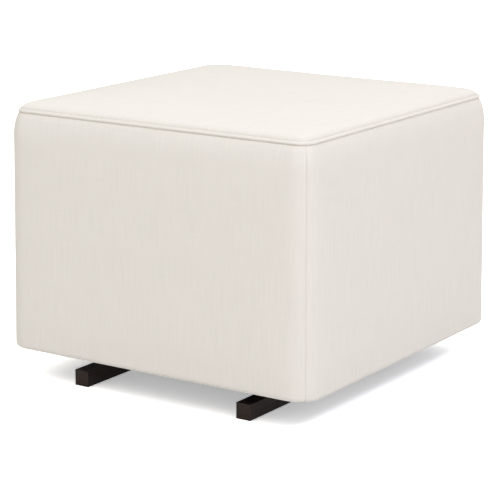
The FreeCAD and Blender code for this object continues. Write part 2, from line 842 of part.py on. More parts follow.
def make_carriage_plates():
    """Write the plates that hang the seat frame on the arms."""
    top = lower_pivot_height + carriage_eye_radius
    plate = block(carriage_plate_inner, carriage_plate_outer, -carriage_plate_half_length,
                  carriage_plate_half_length, carriage_plate_bottom, top)
    for height in (carriage_plate_bottom, top):
        plate = rounded_corners(plate, carriage_plate_half_length, height, carriage_plate_fillet)
    holes = []
    for y in (-pivot_place, pivot_place):
        holes.append((pivot_bolt_radius + fit_clearance, y, lower_pivot_height))
    for y in carriage_bolt_places():
        holes.append((bolt_radius + hole_clearance, y, carriage_bolt_height))
    plate = plate.cut([rod_x(carriage_plate_inner - past, carriage_plate_outer + past, r, y, z)
                       for r, y, z in holes])
    export("carriage_plate_right", plate)
    export("carriage_plate_left", left(plate))


def make_carriage_bolts():
    """Write the bolts and tee nuts between the carriage plates and their rails."""
    bolts = []
    nuts = []
    z = carriage_bolt_height
    for y in carriage_bolt_places():
        face = carriage_plate_inner
        head = rod_x(face - bolt_head_height, face, bolt_head_radius, y, z)
        shank = rod_x(face - past, carriage_rail_outer - thread_end, bolt_radius, y, z)
        bolts.append(fused([head, shank]))
        face = carriage_rail_outer
        flange = rod_x(face, face + tee_nut_flange, tee_nut_flange_radius, y, z)
        barrel = rod_x(face - tee_nut_barrel, face, tee_nut_barrel_radius, y, z)
        tapped = rod_x(face - tee_nut_barrel - past, face + tee_nut_flange + past,
                       bolt_radius + fit_clearance, y, z)
        nuts.append(fused([flange, barrel]).cut(tapped))
    export("carriage_bolts", *both_sides(bolts))
    export("carriage_tee_nuts", *both_sides(nuts))


os.makedirs("parts", exist_ok=True)
staple_room = [staple(x, y, turned, fit_clearance) for x, y, turned in staple_places()]
make_runners()
make_base_plates()
make_cross_rails()
make_tie_bars()
make_bumpers()
make_upper_pivots()
make_arms()
make_lower_pivots()
make_carriage_plates()
make_carriage_bolts()
make_seat_frame(staple_room)
make_upholstery(staple_room)
make_underside(staple_room)
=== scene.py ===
"""Looks of the glider ottoman: its cover, its padding, its finishes and a plain stage."""

import math

import bmesh
import bpy
from bpy.props import FloatProperty, FloatVectorProperty, PointerProperty
from mathutils import Matrix, Vector, noise


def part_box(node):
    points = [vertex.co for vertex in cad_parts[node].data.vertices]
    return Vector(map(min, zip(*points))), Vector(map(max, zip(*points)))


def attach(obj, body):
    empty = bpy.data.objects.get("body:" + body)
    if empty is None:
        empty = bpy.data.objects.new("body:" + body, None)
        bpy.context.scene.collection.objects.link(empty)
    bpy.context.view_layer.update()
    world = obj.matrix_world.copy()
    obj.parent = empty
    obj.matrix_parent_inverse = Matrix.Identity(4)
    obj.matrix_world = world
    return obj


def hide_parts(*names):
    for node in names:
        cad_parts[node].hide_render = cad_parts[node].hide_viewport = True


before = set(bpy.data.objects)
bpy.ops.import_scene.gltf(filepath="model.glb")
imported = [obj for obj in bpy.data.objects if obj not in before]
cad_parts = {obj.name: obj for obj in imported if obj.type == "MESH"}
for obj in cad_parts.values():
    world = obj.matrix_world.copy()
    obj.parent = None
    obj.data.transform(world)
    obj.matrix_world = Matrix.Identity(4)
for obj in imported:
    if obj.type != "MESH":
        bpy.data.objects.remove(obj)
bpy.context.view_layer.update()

bl_info = {
    "name": "Glider Ottoman",
    "version": (1, 0, 0),
    "blender": (4, 5, 0),
    "location": "View3D > Sidebar > Ottoman",
    "description": "Builds the upholstery, the finishes and the stage of a glider ottoman",
    "category": "Add Mesh",
}

# The sides of the box, with the turn that brings the front's shape to each of them.
SIDES = {"front": 0.0, "right": 90.0, "rear": 180.0, "left": 270.0}
UP = Vector((0, 0, 1))

# All lengths are in metres.

# The CAD crown's height above the top seam, and the seam's distance from the side faces.
CROWN = 0.020
SEAM_INSET = 0.0134
# How far the top panel reaches out over the CAD seam, and how high it starts above it, so that it
# begins on the piping. Its rim drops behind the piping by these two steps.
TOP_REACH = 0.0012
TOP_LIFT = 0.0022
RIM_DROPS = (0.0008, 0.0030)
# The rings of the crown's grid lie closer to each other near the rim, but for this share.
EVEN_RINGS = 0.12
# The radius of the crown's rings at their smallest, and its limit as a share of half their side.
INNER_RADIUS = 0.048
ROUND_LIMIT = 0.6
# How high above the top seam the top panel's unevenness is at its full.
UNEVEN_RISE = 0.010
# How many cells the crown's grid has each way, on the top panel and on the seat pad.
TOP_CELLS, PAD_CELLS = 96, 64

# The piping's corners are this much tighter than the box's.
PIPING_CORNER = 0.0104
# How many sides the piping has, and the steps along each straight and round each corner.
PIPING_SIDES, STRAIGHT_STEPS, CORNER_STEPS = 16, 46, 12

# The steps of a panel's grid over its plain face, over its draw-in and along its hem.
FACE_STEP, BEND_STEP, HEM_STEP = 0.006, 0.0025, 0.005
# How far the draw-in's last row lies below the top seam, and how far above its band's foot it
# starts.
LAST_ROW = 0.0009
BEND_DELAY = 0.003
# The soft dip under the top seam: its depth and its height.
VALLEY_DEPTH, VALLEY_HEIGHT = 0.0013, 0.006
# The inset and rise of the section's last points, which turn in over the top seam.
SEAM_TURN = ((0.0003, 0.0), (0.0009, 0.0004), (0.0018, 0.0006), (0.0040, 0.0006))
# The height above the hem at which the sides' flare has come to nothing.
FLARE_HEIGHT = 0.32
# The distances of a panel's columns from its corner seam, and the even ones that follow them.
SEAM_COLUMNS = (0.0, 0.0005, 0.0011, 0.0019, 0.003, 0.0045, 0.0065)
NEAR_COLUMNS = (0.0087, 0.027, 0.0023)
# Half of the gap between two panels, the width of the dip at their seam, and of the flap behind it.
SEAM_GAP = 0.0001
DIP_WIDTH = 0.0016
FLAP = 0.004
# The distances from a corner seam, the top seam and the hem at which a panel is fully uneven.
UNEVEN_SEAM, UNEVEN_TOP, UNEVEN_HEM = 0.03, 0.03, 0.02
# The distances from the same three within which the cloth is held.
HELD_SEAM, HELD_TOP, HELD_HEM = 0.0012, 0.002, 0.001

# The padding's pressure on the cloth, and how many frames the cloth is given to settle.
PRESSURE = 3.0
SETTLING_FRAMES = 12
# How many times the settled swelling is blended between neighbouring points.
BLENDING_ROUNDS = 24

# The levels of the seat pad's sides, each as a share of the way down that is left.
PAD_LEVELS = (0.02, 0.2, 0.25, 1 / 3, 0.5, 0.9, 1.0)
# The thickness of the batting and of the side padding, and the padding's rows.
BATTING_WALL = 0.008
PADDING_WALL = 0.010
PADDING_STEP = 0.007
# The dust cover's grid, its sag, and the distance from its rim at which it sags fully.
DUST_STEP = 0.008
DUST_SAG = 0.0012
DUST_RIM = 0.05
# The thickness of one layer of the plywood.
PLY = 0.0017

# The sockets of a Mix node that mixes colours: its factor, its two colours and its result.
MIX_FACTOR, MIX_FIRST, MIX_SECOND, MIX_RESULT = 0, 6, 7, 2


def length(name, description, default):
    """Return a length property in metres."""
    return FloatProperty(name=name, description=description, default=default, min=0.0,
                         unit="LENGTH", precision=4)


def colour(name, description, default):
    """Return a colour property."""
    return FloatVectorProperty(name=name, description=description, default=default,
                               subtype="COLOR", size=3, min=0.0, max=1.0)


class OttomanSizes(bpy.types.PropertyGroup):
    """Sizes of the upholstery."""

    corner_radius: length("Corner radius", "Radius of the upright corners", 0.033)
    draw_in: length("Draw-in radius", "Radius by which the sides turn in to the piping", 0.0898)
    draw_in_height: length("Draw-in height", "Height of the band that turns in", 0.040)
    bottom_radius: length("Bottom radius", "Radius of the cover's bottom edge", 0.007)
    hem_depth: length("Hem", "How far the cover runs in under the frame", 0.028)
    fabric: length("Fabric thickness", "Thickness of the cover's fabric", 0.0012)
    thread: length("Thread", "Distance from one thread of the weave to the next", 0.0009)
    shoulder: length("Shoulder", "How high the top panel rises right beside the piping", 0.0085)
    shoulder_width: length("Shoulder width", "How far inside the piping the shoulder ends", 0.012)
    middle_rise: length("Middle rise", "How much higher the top's middle is than the shoulder",
                        0.0150)
    crown_flat: length("Crown flat", "Half of the level part in the crown's middle", 0.060)
    piping_radius: length("Piping radius", "Radius of the piping", 0.0027)
    seam_depth: length("Seam depth", "How deep the fabric dips at a corner seam", 0.0009)
    unevenness: length("Unevenness", "How far the padding stands out of true", 0.0005)
    swelling: length("Swelling", "The most that a panel swells between its seams", 0.0022)
    flare: length("Flare", "How far the sides stand out towards the bottom", 0.0046)


class OttomanColours(bpy.types.PropertyGroup):
    """Colours of the finishes."""

    cover: colour("Cover", "Undyed linen-look cover fabric", (0.775, 0.722, 0.655))
    foam: colour("Foam", "Seat foam", (0.80, 0.72, 0.47))
    batting: colour("Batting", "Polyester batting and padding", (0.84, 0.84, 0.82))
    dust: colour("Dust cover", "Spun dust cover cloth", (0.018, 0.018, 0.020))
    runner: colour("Runner", "Espresso stain of the runners and rails", (0.020, 0.0115, 0.0075))
    plywood: colour("Plywood", "Birch plywood", (0.62, 0.44, 0.26))
    softwood: colour("Frame wood", "Pine posts and rails", (0.66, 0.46, 0.25))
    paint: colour("Powder coat", "Black powder coat of the plates and arms", (0.020, 0.020, 0.022))
    zinc: colour("Zinc", "Zinc plating of the fasteners", (0.60, 0.61, 0.60))
    steel: colour("Bearing steel", "Ground bearing steel", (0.62, 0.62, 0.63))
    rubber: colour("Rubber", "Rubber of the bumpers", (0.016, 0.016, 0.017))


# materials


class Finish:
    """A material or a world under construction, whose nodes are added one after another."""

    def __init__(self, owner):
        self.owner = owner
        self.owner.use_nodes = True
        self.tree = self.owner.node_tree
        self.tree.nodes.clear()

    def node(self, kind, inputs=None, **settings):
        """Add a node, set or link its inputs, and return it."""
        node = self.tree.nodes.new("ShaderNode" + kind)
        for name, value in settings.items():
            setattr(node, name, value)
        for key, value in (inputs or {}).items():
            if isinstance(value, bpy.types.NodeSocket):
                self.tree.links.new(value, node.inputs[key])
            else:
                node.inputs[key].default_value = value
        return node

    def math(self, operation, first, second=0.0, third=0.0):
        """Add a Math node and return its value."""
        inputs = {0: first, 1: second, 2: third}
        return self.node("Math", inputs, operation=operation).outputs[0]

    def span(self, value, low, high):
        """Spread a value of 0 to 1 over a range and return it."""
        return self.math("MULTIPLY_ADD", value, high - low, low)

    def place(self, turn=(0, 0, 0), scale=(1, 1, 1), at=(0, 0, 0)):
        """Return the object's own coordinates, turned and stretched."""
        source = self.node("TexCoord").outputs["Object"]
        inputs = {"Vector": source, "Location": at, "Rotation": turn, "Scale": scale}
        return self.node("Mapping", inputs).outputs[0]

    def cut(self):
        """Return the place on the cut cloth, in metres."""
        return self.node("UVMap", uv_map="cut").outputs[0]

    def stretch(self, vector, scale, turn=0.0):
        """Return a place that is stretched, and turned about its Z."""
        inputs = {"Vector": vector, "Rotation": (0, 0, turn), "Scale": scale}
        return self.node("Mapping", inputs).outputs[0]

    def cloud(self, vector, scale, detail=2.0, roughness=0.5):
        """Return soft noise of 0 to 1."""
        inputs = {"Vector": vector, "Scale": scale, "Detail": detail, "Roughness": roughness}
        return self.node("TexNoise", inputs).outputs["Fac"]

    def tint(self, base, factor):
        """Return a colour that is made lighter or darker by a factor near 1."""
        grey = self.node("CombineColor", {0: factor, 1: factor, 2: factor}).outputs[0]
        return self.blend(1.0, base, grey, "MULTIPLY")

    def blend(self, factor, first, second, kind="MIX"):
        """Return a mix of two colours, each a node's result or three numbers."""
        inputs = {MIX_FACTOR: factor}
        for slot, value in ((MIX_FIRST, first), (MIX_SECOND, second)):
            linked = isinstance(value, bpy.types.NodeSocket)
            inputs[slot] = value if linked else (*value, 1.0)
        return self.node("Mix", inputs, data_type="RGBA", blend_type=kind).outputs[MIX_RESULT]

    def bump(self, height, distance, strength):
        """Return a normal that follows a height."""
        inputs = {"Height": height, "Distance": distance, "Strength": strength}
        return self.node("Bump", inputs).outputs[0]

    def close(self, shader, kind="OutputMaterial"):
        """Send a shader to the output, and return the finished material or world."""
        self.node(kind, {"Surface": shader.outputs[0]})
        return self.owner

    def shade(self, inputs):
        """Close the material with one principled shader and return it."""
        return self.close(self.node("BsdfPrincipled", inputs))


def linen(name, base, thread, bias=0.0):
    """Return a plain-woven linen-look fabric with slubs along its upright threads, and painted
    shade where its threads dip low.
    """
    finish = Finish(bpy.data.materials.new(name))
    turned = finish.stretch(finish.cut(), (1, 1, 1), bias)
    parts = finish.node("SeparateXYZ", {0: turned})
    across = finish.math("DIVIDE", parts.outputs[0], thread)
    along = finish.math("DIVIDE", parts.outputs[1], thread)
    heights = []
    for step, other, phase in ((across, along, 0.0), (along, across, math.pi)):
        index = finish.math("FLOOR", step)
        half_turn = finish.math("MULTIPLY", step, math.pi)
        crest = finish.math("ABSOLUTE", finish.math("SINE", half_turn))
        wave = finish.math("MULTIPLY", finish.math("ADD", other, index), math.pi)
        over = finish.math("SINE", finish.math("ADD", wave, phase))
        lift = finish.span(over, 0.55, 0.95)
        heights.append(finish.math("MULTIPLY", crest, lift))
    height = finish.math("MAXIMUM", heights[0], heights[1])
    streak = finish.cloud(finish.stretch(turned, (420, 14, 1)), 1.0, 3.0, 0.6)
    weft = finish.cloud(finish.stretch(turned, (16, 380, 1)), 1.0, 2.0, 0.5)
    patch = finish.cloud(turned, 22.0, 2.0)
    tone = finish.math("ADD", finish.span(streak, -0.055, 0.055), finish.span(weft, -0.02, 0.02))
    tone = finish.math("ADD", tone, finish.span(patch, -0.012, 0.012))
    # Painted shade: the weave is darker where its threads dip low, between and under the threads
    # that cross them.
    tone = finish.math("ADD", tone, finish.span(height, 0.94, 1.03))
    relief = finish.math("ADD", height, finish.span(streak, 0.0, 0.8))
    return finish.shade({
        "Base Color": finish.tint(base, tone),
        "Roughness": 0.9,
        "Specular IOR Level": 0.25,
        "Sheen Weight": 0.06,
        "Sheen Roughness": 0.5,
        "Normal": finish.bump(relief, 0.00012, 0.6),
    })


def stained_wood(name, base, turn):
    """Return dark stained, satin lacquered wood whose grain runs along its Y after a turn."""
    finish = Finish(bpy.data.materials.new(name))
    rings = finish.place(turn, (1.0, 0.12, 1.0), (0.02, 0.0, 0.09))
    wave = finish.node("TexWave", {"Vector": rings, "Scale": 90.0, "Distortion": 5.0,
                                   "Detail": 3.0, "Detail Scale": 0.6},
                       wave_type="RINGS", rings_direction="Y").outputs["Fac"]
    grain = finish.cloud(finish.place(turn, (420.0, 16.0, 420.0)), 1.0, 5.0, 0.65)
    pores = finish.cloud(finish.place(turn, (1500.0, 60.0, 1500.0)), 1.0, 2.0)
    tone = finish.math("ADD", finish.span(wave, 0.75, 1.15), finish.span(grain, -0.45, 0.45))
    height = finish.math("ADD", finish.math("MULTIPLY", grain, 0.6), pores)
    return finish.shade({
        "Base Color": finish.tint(base, tone),
        "Roughness": finish.span(grain, 0.46, 0.60),
        "Specular IOR Level": 0.12,
        "Normal": finish.bump(height, 0.00012, 0.5),
    })


def plain_wood(name, base, turn):
    """Return planed, unfinished wood whose grain runs along its Y after a turn."""
    finish = Finish(bpy.data.materials.new(name))
    rings = finish.place(turn, (1.0, 0.10, 1.0), (0.05, 0.0, 0.12))
    wave = finish.node("TexWave", {"Vector": rings, "Scale": 60.0, "Distortion": 6.0,
                                   "Detail": 3.0, "Detail Scale": 0.5},
                       wave_type="RINGS", rings_direction="Y").outputs["Fac"]
    grain = finish.cloud(finish.place(turn, (500.0, 14.0, 500.0)), 1.0, 5.0, 0.6)
    tone = finish.math("ADD", finish.span(wave, 0.78, 1.08), finish.span(grain, -0.14, 0.14))
    return finish.shade({
        "Base Color": finish.tint(base, tone),
        "Roughness": finish.span(grain, 0.55, 0.75),
        "Normal": finish.bump(grain, 0.00015, 0.6),
    })


def plywood(name, base, turn, start):
    """Return plywood whose layers lie across its Z after a turn, counted from a face."""
    finish = Finish(bpy.data.materials.new(name))
    parts = finish.node("SeparateXYZ", {0: finish.place(turn)})
    level = finish.math("DIVIDE", finish.math("SUBTRACT", parts.outputs[2], start), PLY)
    layer = finish.math("PINGPONG", finish.math("FLOOR", level), 1.0)
    long_grain = finish.cloud(finish.place(turn, (240.0, 10.0, 20.0)), 1.0, 4.0, 0.6)
    cross_grain = finish.cloud(finish.place(turn, (10.0, 240.0, 20.0)), 1.0, 4.0, 0.6)
    tone = finish.math("ADD", finish.span(long_grain, 0.80, 1.10),
                       finish.span(cross_grain, -0.05, 0.05))
    light = finish.tint(base, tone)
    dark = finish.tint([part * 0.62 for part in base], tone)
    return finish.shade({
        "Base Color": finish.blend(layer, light, dark),
        "Roughness": 0.7,
        "Normal": finish.bump(long_grain, 0.0002, 0.5),
    })


def powder_coat(name, base):
    """Return black powder coat with its fine orange peel."""
    finish = Finish(bpy.data.materials.new(name))
    peel = finish.cloud(finish.place(), 1400.0, 2.0)
    haze = finish.cloud(finish.place(), 30.0, 3.0)
    return finish.shade({
        "Base Color": finish.tint(base, finish.span(haze, 0.85, 1.15)),
        "Roughness": finish.span(haze, 0.42, 0.54),
        "Normal": finish.bump(peel, 0.00008, 0.7),
    })


def bare_metal(name, base, low, high, scale):
    """Return plain or plated metal with fine wear in its gloss."""
    finish = Finish(bpy.data.materials.new(name))
    wear = finish.cloud(finish.place(), scale, 4.0, 0.6)
    fine = finish.cloud(finish.place(), scale * 12.0, 2.0)
    return finish.shade({
        "Base Color": finish.tint(base, finish.span(wear, 0.86, 1.10)),
        "Metallic": 1.0,
        "Roughness": finish.span(wear, low, high),
        "Normal": finish.bump(fine, 0.00003, 0.5),
    })


def rubber(name, base):
    """Return dull moulded rubber."""
    finish = Finish(bpy.data.materials.new(name))
    speckle = finish.cloud(finish.place(), 2200.0, 2.0)
    bloom = finish.cloud(finish.place(), 120.0, 3.0)
    return finish.shade({
        "Base Color": finish.tint(base, finish.span(bloom, 0.8, 1.4)),
        "Roughness": finish.span(bloom, 0.70, 0.85),
        "Normal": finish.bump(speckle, 0.0001, 0.5),
    })


def open_foam(name, base):
    """Return cut foam with open cells."""
    finish = Finish(bpy.data.materials.new(name))
    pores = finish.node("TexVoronoi", {"Vector": finish.place(), "Scale": 520.0})
    cells = pores.outputs["Distance"]
    patch = finish.cloud(finish.place(), 14.0, 3.0)
    tone = finish.math("ADD", finish.span(cells, 1.08, 0.72), finish.span(patch, -0.06, 0.06))
    return finish.shade({
        "Base Color": finish.tint(base, tone),
        "Roughness": 0.95,
        "Specular IOR Level": 0.1,
        "Normal": finish.bump(cells, 0.0006, 0.8),
    })


def fibre_fill(name, base):
    """Return carded polyester fibre, with painted shade where it lies low between its strands."""
    finish = Finish(bpy.data.materials.new(name))
    strands = finish.cloud(finish.place((0.3, 0.2, 0.6), (900.0, 60.0, 900.0)), 1.0, 4.0, 0.7)
    crossing = finish.cloud(finish.place((0.1, 0.4, -0.7), (700.0, 50.0, 700.0)), 1.0, 4.0, 0.7)
    clump = finish.cloud(finish.place(), 35.0, 3.0)
    height = finish.math("MAXIMUM", strands, crossing)
    # Painted shade: the fibre is darker where it lies low between the strands. The clumps vary its
    # tone at random.
    tone = finish.math("ADD", finish.span(height, 0.80, 1.12), finish.span(clump, -0.05, 0.05))
    return finish.shade({
        "Base Color": finish.tint(base, tone),
        "Roughness": 0.95,
        "Specular IOR Level": 0.1,
        "Sheen Weight": 0.2,
        "Normal": finish.bump(height, 0.0008, 0.8),
    })


def spun_cloth(name, base):
    """Return spun dust cover cloth with its pressed points."""
    finish = Finish(bpy.data.materials.new(name))
    parts = finish.node("SeparateXYZ", {0: finish.cut()})
    spacing = 0.0016
    waves = [finish.math("SINE", finish.math("MULTIPLY", parts.outputs[i], math.pi / spacing))
             for i in (0, 1)]
    points = finish.math("ABSOLUTE", finish.math("MULTIPLY", waves[0], waves[1]))
    fibres = finish.cloud(finish.stretch(finish.cut(), (900.0, 300.0, 1.0)), 1.0, 4.0, 0.7)
    tone = finish.math("ADD", finish.span(points, 1.25, 0.75), finish.span(fibres, -0.3, 0.3))
    return finish.shade({
        "Base Color": finish.tint(base, tone),
        "Roughness": finish.span(points, 0.85, 0.55),
        "Sheen Weight": 0.1,
        "Normal": finish.bump(points, 0.00012, 0.7),
    })


# shapes


def along_side(distance, half_long, half_deep, radius):
    """Return the place and the outward direction on the front side of a rounded rectangle.

    The distance is measured along the outline from the side's middle, and may run into the corners.
    """
    straight = half_long - radius
    past = abs(distance) - straight
    if past <= 0:
        return Vector((distance, -half_deep, 0)), Vector((0, -1, 0))
    turn = past / radius
    side = math.copysign(1.0, distance)
    outward = Vector((side * math.sin(turn), -math.cos(turn), 0))
    return Vector((side * straight, radius - half_deep, 0)) + outward * radius, outward


def seam_reach(half_long, radius):
    """Return the distance along the outline from a side's middle to its corner seam."""
    return half_long - radius + radius * math.pi / 4


def spread(low, high, step):
    """Return evenly spaced values from low to high, with steps of about the given size."""
    count = max(1, round((high - low) / step))
    return [low + (high - low) * i / count for i in range(count + 1)]


def grid_of(columns, rows):
    """Return a new grid, and the column and row of each of its vertices."""
    shape = bmesh.new()
    bmesh.ops.create_grid(shape, x_segments=columns - 1, y_segments=rows - 1, size=1.0)
    numbers = {}
    for vertex in shape.verts:
        column = round((vertex.co.x + 1) / 2 * (columns - 1))
        row = round((vertex.co.y + 1) / 2 * (rows - 1))
        numbers[vertex] = (column, row)
    return shape, numbers


def lay_cut(shape, places):
    """Write each vertex's place on the cut cloth, in metres, to the map that the weave follows."""
    layer = shape.loops.layers.uv.new("cut")
    for face in shape.faces:
        for loop in face.loops:
            loop[layer].uv = places[loop.vert]


def add_piece(shape, name, material):
    """Turn a finished shape into an object and return it."""
    mesh = bpy.data.meshes.new(name)
    shape.to_mesh(mesh)
    shape.free()
    mesh.materials.append(material)
    mesh.shade_smooth()
    piece = bpy.data.objects.new(name, mesh)
    bpy.context.scene.collection.objects.link(piece)
    return piece


def seat_piece(piece, slot, *nodes):
    """Let a piece of the upholstered box ride on it, and stand for its nodes."""
    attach(piece, "carriage")
    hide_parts(*nodes)


def thicken(piece, thickness):
    """Give a cloth its thickness, inwards from its face."""
    modifier = piece.modifiers.new("thickness", "SOLIDIFY")
    modifier.thickness = thickness
    modifier.offset = -1.0


def even_out(mesh, values, held):
    """Return a value for each vertex, blended with its neighbours' so that no ridge shows."""
    neighbours = [[] for _ in mesh.vertices]
    for edge in mesh.edges:
        first, second = edge.vertices
        neighbours[first].append(second)
        neighbours[second].append(first)
    for _ in range(BLENDING_ROUNDS):
        blended = []
        for number, close in enumerate(neighbours):
            total = values[number] + sum(values[near] for near in close)
            blended.append(0.0 if number in held else total / (1 + len(close)))
        values = blended
    return values


def swell(piece, held, cap):
    """Let the padding press a cloth outwards between its held edges, no further than the cap."""
    group = piece.vertex_groups.new(name="held")
    group.add(held, 1.0, "REPLACE")
    modifier = piece.modifiers.new("cloth", "CLOTH")
    cloth = modifier.settings
    cloth.quality = 4
    cloth.mass = 0.3
    cloth.tension_stiffness = 25.0
    cloth.compression_stiffness = 25.0
    cloth.shear_stiffness = 8.0
    cloth.bending_stiffness = 0.4
    cloth.use_pressure = True
    cloth.uniform_pressure_force = PRESSURE
    cloth.vertex_group_mass = "held"
    cloth.effector_weights.gravity = 0.0
    modifier.collision_settings.use_collision = False
    scene = bpy.context.scene
    for number in range(1, SETTLING_FRAMES + 1):
        scene.frame_set(number)
    pressed = piece.evaluated_get(bpy.context.evaluated_depsgraph_get())
    points = piece.data.vertices
    outward = [point.normal.copy() for point in points]
    gains = [min(max((moved.co - point.co).dot(normal), 0.0), cap)
             for point, moved, normal in zip(points, pressed.data.vertices, outward)]
    gains = even_out(piece.data, gains, set(held))
    for vertex, normal, gain in zip(points, outward, gains):
        vertex.co += normal * gain
    piece.modifiers.remove(modifier)
    piece.vertex_groups.clear()
    scene.frame_set(1)


def bend_height(sizes, seam_height):
    """Return the height at which the sides begin to turn in to the piping."""
    return seam_height - sizes.draw_in_height + BEND_DELAY


def drawn_in(sizes, height, seam_height):
    """Return how far the sides have turned in to the piping at a height."""
    rise = max(0.0, height - bend_height(sizes, seam_height))
    return sizes.draw_in - math.sqrt(sizes.draw_in ** 2 - rise ** 2)


def flared(sizes, height, low):
    """Return how far the sides stand out at a height."""
    return sizes.flare * max(0.0, 1 - (height - low) / FLARE_HEIGHT)


def side_profile(sizes, low, seam_height):
    """Return the inset and height of the side's section, from the hem's end up to the top seam."""
    radius = sizes.bottom_radius
    points = [(inset, low) for inset in spread(radius, sizes.hem_depth, HEM_STEP)][::-1]
    for turn in spread(0.0, math.pi / 2, math.pi / 12)[1:]:
        points.append((radius * (1 - math.sin(turn)), low + radius * (1 - math.cos(turn))))
    bend = bend_height(sizes, seam_height)
    points += [(0.0, height) for height in spread(low + radius, bend, FACE_STEP)[1:]]
    for height in spread(bend, seam_height - LAST_ROW, BEND_STEP)[1:]:
        valley = VALLEY_DEPTH * max(0.0, 1 - (seam_height - height) / VALLEY_HEIGHT) ** 2
        points.append((drawn_in(sizes, height, seam_height) + valley, height))
    edge = points[-1][0]
    return points + [(edge + inset, seam_height + rise) for inset, rise in SEAM_TURN]


def seam_columns(reach):
    """Return the distance along a side for each column of a panel, closer at the seams."""
    near = [*SEAM_COLUMNS, *spread(*NEAR_COLUMNS)]
    middle = reach - near[-1]
    columns = [-(reach - distance) for distance in near]
    columns += spread(-middle, middle, FACE_STEP)[1:-1]
    return columns + [reach - distance for distance in reversed(near)]


def side_halves(side, half_x, half_y):
    """Return half of a side's own length, and its distance from the middle."""
    return (half_x, half_y) if side in ("front", "rear") else (half_y, half_x)


def side_turn(side):
    """Return the turn that brings the front's shape to a side."""
    return Matrix.Rotation(math.radians(SIDES[side]), 4, "Z")


def make_side_panel(side, sizes, material):
    """Add one side panel of the cover, sewn to its neighbours at the corners."""
    low, high = (corner.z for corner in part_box("cover_panel_" + side))
    half_long, half_deep = side_halves(side, *frame_half("cover_panel_front", "cover_panel_right"))
    profile = side_profile(sizes, low, high)
    reach = seam_reach(half_long, sizes.corner_radius) - SEAM_GAP
    columns = seam_columns(reach)
    shape, numbers = grid_of(len(columns) + 2, len(profile))
    run = [0.0]
    for first, second in zip(profile, profile[1:]):
        run.append(run[-1] + math.dist(first, second))
    turn = side_turn(side)
    cut = {}
    held = []
    for vertex, (column, row) in numbers.items():
        inset, height = profile[row]
        distance = columns[min(max(column - 1, 0), len(columns) - 1)]
        from_seam = reach - abs(distance)
        flap = FLAP if column in (0, len(columns) + 1) else 0.0
        outer, outward = along_side(distance, half_long, half_deep, sizes.corner_radius)
        inset += flap + sizes.seam_depth * math.exp(-((from_seam / DIP_WIDTH) ** 2))
        fade = min(1.0, from_seam / UNEVEN_SEAM, max(0.0, (high - height) / UNEVEN_TOP),
                   max(0.0, (height - low) / UNEVEN_HEM))
        wave = noise.noise(Vector((distance * 11, height * 9, SIDES[side])))
        wave += 0.5 * noise.noise(Vector((distance * 26, height * 15, SIDES[side] + 5)))
        inset -= sizes.unevenness * fade * wave + flared(sizes, height, low)
        vertex.co = turn @ (outer - outward * inset + UP * height)
        cut[vertex] = (distance + math.copysign(flap, distance), run[row])
        if from_seam < HELD_SEAM or height > high - HELD_TOP or height < low + HELD_HEM:
            held.append(vertex.index)
    lay_cut(shape, cut)
    piece = add_piece(shape, "cover_side_" + side, material)
    swell(piece, held, sizes.swelling)
    thicken(piece, sizes.fabric)
    seat_piece(piece, "cover_fabric", "cover_panel_" + side)


def frame_half(front, right):
    """Return the half width and half depth to the faces of a front and a right piece."""
    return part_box(right)[1].x, -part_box(front)[0].y


def seam_level():
    """Return the height at which the top panel leaves the piping."""
    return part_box("cover_top")[1].z - CROWN


def crown_height(sizes, inside, share):
    """Return the crown's rise at a distance inside its seam: a full shoulder and a slow middle."""
    past = 1 - min(1.0, inside / sizes.shoulder_width)
    shoulder = sizes.shoulder * math.sqrt(1 - past * past)
    return shoulder + sizes.middle_rise * (1 - (1 - share) ** 2)


def crowned_top(sizes, inset, drop, cells):
    """Return a grid laid over the seat's crown, set in from the top seam and lowered."""
    half_x, half_y = (half - inset for half in frame_half("cover_top", "cover_top"))
    edge = seam_level() - drop
    run = min(half_x, half_y) - sizes.crown_flat
    sharp = sizes.corner_radius - SEAM_INSET
    shape = grid_of(cells + 1, cells + 1)[0]
    for vertex in shape.verts:
        x, y = vertex.co.x, vertex.co.y
        step = max(abs(x), abs(y))
        if step < 1e-6:
            vertex.co = Vector((0, 0, edge + crown_height(sizes, run, 1.0)))
            continue
        x, y = x / step, y / step
        ring = EVEN_RINGS * step + (1 - EVEN_RINGS) * math.sin(step * math.pi / 2)
        inside = (1 - ring) * min(half_x, half_y)
        share = min(1.0, inside / run)
        if abs(y) >= abs(x):
            side, portion = ("front", x) if y < 0 else ("rear", -x)
        else:
            side, portion = ("right", y) if x > 0 else ("left", -y)
        half_long, half_deep = side_halves(side, half_x * ring, half_y * ring)
        radius = min(sharp + (INNER_RADIUS - sharp) * share, half_long * ROUND_LIMIT)
        distance = portion * seam_reach(half_long, radius)
        place = along_side(distance, half_long, half_deep, radius)[0]
        place.z = edge + crown_height(sizes, inside, share)
        vertex.co = side_turn(side) @ place
    return shape


def rim_edges(shape):
    """Return the open edges of a shape."""
    return [edge for edge in shape.edges if edge.is_boundary]


def drop_rim(shape, foot, shares):
    """Draw the open rim of a shape down towards its foot, level by level, and return its edges.

    Each share is how much of the way that is left the level goes.
    """
    edges = rim_edges(shape)
    for share in shares:
        drawn = bmesh.ops.extrude_edge_only(shape, edges=edges)["geom"]
        for vertex in drawn:
            if isinstance(vertex, bmesh.types.BMVert):
                vertex.co.z += (foot - vertex.co.z) * share
        edges = [edge for edge in drawn if isinstance(edge, bmesh.types.BMEdge)]
    return edges


# operators


class Builder:
    """What every operator of the ottoman shares."""

    bl_options = {"REGISTER"}

    def execute(self, context):
        """Build the piece with the scene's sizes and colours."""
        self.build(context.scene.ottoman_sizes, context.scene.ottoman_colours)
        return {"FINISHED"}


